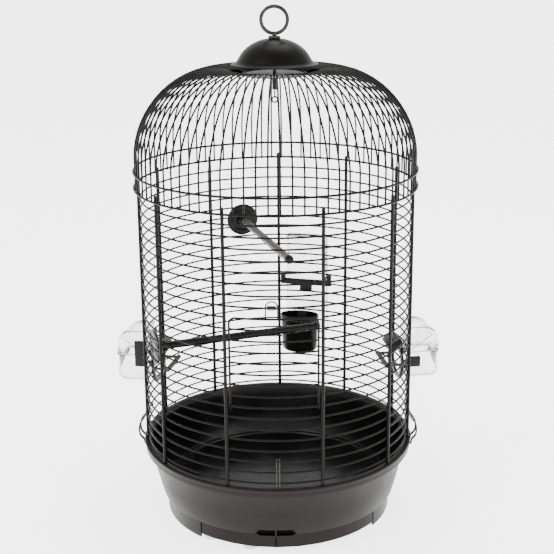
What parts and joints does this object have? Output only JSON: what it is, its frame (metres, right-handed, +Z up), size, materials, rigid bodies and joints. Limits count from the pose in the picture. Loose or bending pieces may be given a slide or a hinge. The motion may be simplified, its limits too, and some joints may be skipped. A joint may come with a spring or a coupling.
{
  "type": "bird cage",
  "caption": "Round domed wire bird cage on a flared plastic tray with a pull-out drawer, fold-down door, perches, side feeders, a rear drinker and a top hanging ring.",
  "frame": {"origin": "on the floor, on the cage's vertical axis", "axes": "+Z up, the door and the drawer face -Y, +X is to the right seen from the door side"},
  "size_m": [0.4154, 0.3723, 0.6417],
  "materials": {
    "black_wire": "satin",
    "grey_steel": "satin",
    "tray_plastic": "satin",
    "black_plastic": "gloss",
    "perch_plastic": "satin",
    "clear_plastic": "clear gloss",
    "pale_rubber": "matte"
  },
  "bodies": {
    "cage": {"tray_base": "tray_plastic", "bottom_plate": "black_plastic", "foot_1": "pale_rubber", "foot_2": "pale_rubber", "foot_3": "pale_rubber", "foot_4": "pale_rubber", "foot_5": "pale_rubber", "foot_6": "pale_rubber", "front_panel": "black_wire", "wall_right_front": "black_wire", "wall_right": "black_wire", "wall_right_feeder": "black_wire", "wall_right_rear": "black_wire", "wall_rear_right": "black_wire", "wall_rear_left": "black_wire", "wall_left_rear": "black_wire", "wall_left_feeder": "black_wire", "wall_left": "black_wire", "wall_left_front": "black_wire", "dome_sector_1": "black_wire", "dome_sector_2": "black_wire", "dome_sector_3": "black_wire", "dome_sector_4": "black_wire", "dome_sector_5": "black_wire", "dome_sector_6": "black_wire", "dome_sector_7": "black_wire", "dome_sector_8": "black_wire", "upper_hoop": "black_wire", "lower_hoop": "black_wire", "cap": "black_plastic", "crown_disc": "grey_steel", "hanger_ferrule": "grey_steel", "hook_sleeve": "black_plastic", "upper_perch_rosette": "black_plastic", "upper_perch": "perch_plastic", "upper_perch_tip": "black_plastic", "lower_perch_rosette": "black_plastic", "lower_perch": "perch_plastic", "lower_perch_tip": "black_plastic", "left_feeder_cup": "clear_plastic", "left_feeder_frame": "black_plastic", "left_feeder_perch": "perch_plastic", "right_feeder_cup": "clear_plastic", "right_feeder_frame": "black_plastic", "right_feeder_perch": "perch_plastic", "water_trough": "black_plastic", "water_holder": "black_plastic"},
    "drawer": {"base_drawer": "tray_plastic"},
    "hanger": {"hanging_ring": "grey_steel", "toy_hook": "black_wire"},
    "door": {"door": "black_wire"},
    "latch": {"door_latch": "grey_steel"},
    "left_clip": {"left_tray_clip": "grey_steel"},
    "right_clip": {"right_tray_clip": "grey_steel"},
    "front_clip": {"front_tray_clip": "grey_steel"},
    "left_hood": {"left_feeder_hood": "clear_plastic"},
    "right_hood": {"right_feeder_hood": "clear_plastic"},
    "tank": {"water_tank": "clear_plastic"}
  },
  "joints": [
    {"name": "hanger_swivel", "type": "hinge", "parent": "cage", "child": "hanger", "pos_m": [0, 0, 0.6238], "axis": [0, 0, 1], "continuous": true},
    {"name": "door_hinge", "type": "hinge", "parent": "cage", "child": "door", "pos_m": [0, -0.15777, 0.19837], "axis": [1, 0, 0], "range_deg": [0, 105]},
    {"name": "latch_hinge", "type": "hinge", "parent": "cage", "child": "latch", "pos_m": [-0.002, -0.1658, 0.31965], "axis": [-1, 0, 0], "range_deg": [0, 100]},
    {"name": "left_clip_hinge", "type": "hinge", "parent": "cage", "child": "left_clip", "pos_m": [-0.16556, 0, 0.13099], "axis": [0, 1, 0], "range_deg": [0, 60]},
    {"name": "right_clip_hinge", "type": "hinge", "parent": "cage", "child": "right_clip", "pos_m": [0.16556, 0, 0.13099], "axis": [0, -1, 0], "range_deg": [0, 60]},
    {"name": "front_clip_hinge", "type": "hinge", "parent": "cage", "child": "front_clip", "pos_m": [0.00376, -0.16575, 0.13099], "axis": [-0.9997, -0.0227, 0], "range_deg": [0, 60]},
    {"name": "drawer_slide", "type": "slide", "parent": "cage", "child": "drawer", "axis": [0, -1, 0], "range_m": [0, 0.15]},
    {"name": "left_hood_slide", "type": "slide", "parent": "cage", "child": "left_hood", "axis": [0, 0, 1], "range_m": [0, 0.04]},
    {"name": "right_hood_slide", "type": "slide", "parent": "cage", "child": "right_hood", "axis": [0, 0, 1], "range_m": [0, 0.04]},
    {"name": "water_tank_slide", "type": "slide", "parent": "cage", "child": "tank", "axis": [0, 0, 1], "range_m": [0, 0.05]}
  ]
}
